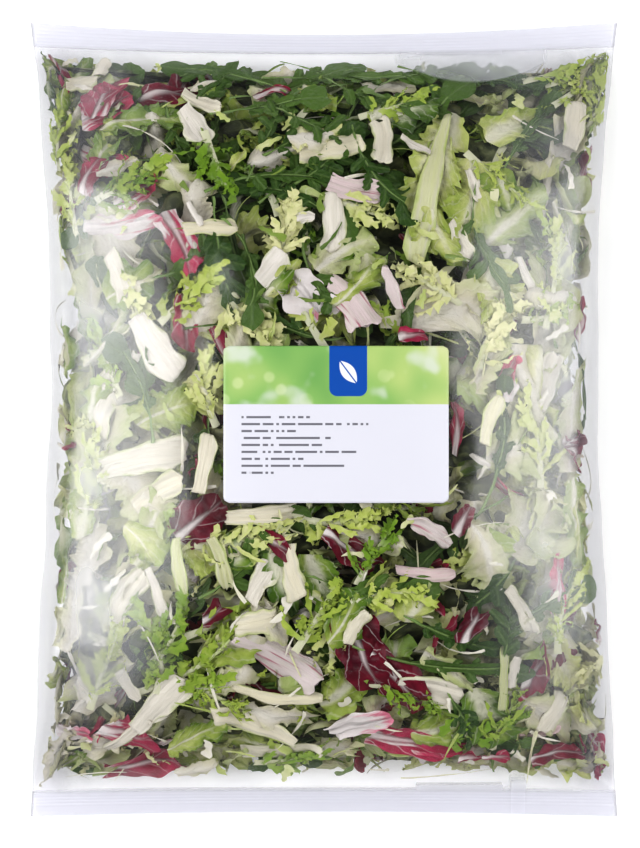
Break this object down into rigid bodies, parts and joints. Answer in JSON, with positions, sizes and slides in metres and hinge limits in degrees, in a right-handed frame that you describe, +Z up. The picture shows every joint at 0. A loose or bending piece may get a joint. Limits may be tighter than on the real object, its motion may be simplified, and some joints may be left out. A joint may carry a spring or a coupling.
{
  "type": "bag of salad leaves",
  "caption": "Sealed pillow bag of clear film, filled with mixed cut salad leaves, with a rectangular paper label on its front; it lies on its back.",
  "frame": {"origin": "under the middle of the bag, on the surface that it lies on", "axes": "+Y along the bag towards its top seal, +X across it to the right as the label faces the viewer, +Z up through the label"},
  "size_m": [0.3, 0.406, 0.0776],
  "materials": {
    "film_and_leaves": "clear, glossy film over mixed green, cream and purple leaves",
    "label_paper": "coated, lightly glossy, printed in flat fields of colour"
  },
  "bodies": {
    "root": {"bag": "film_and_leaves", "label": "label_paper"}
  },
  "joints": []
}
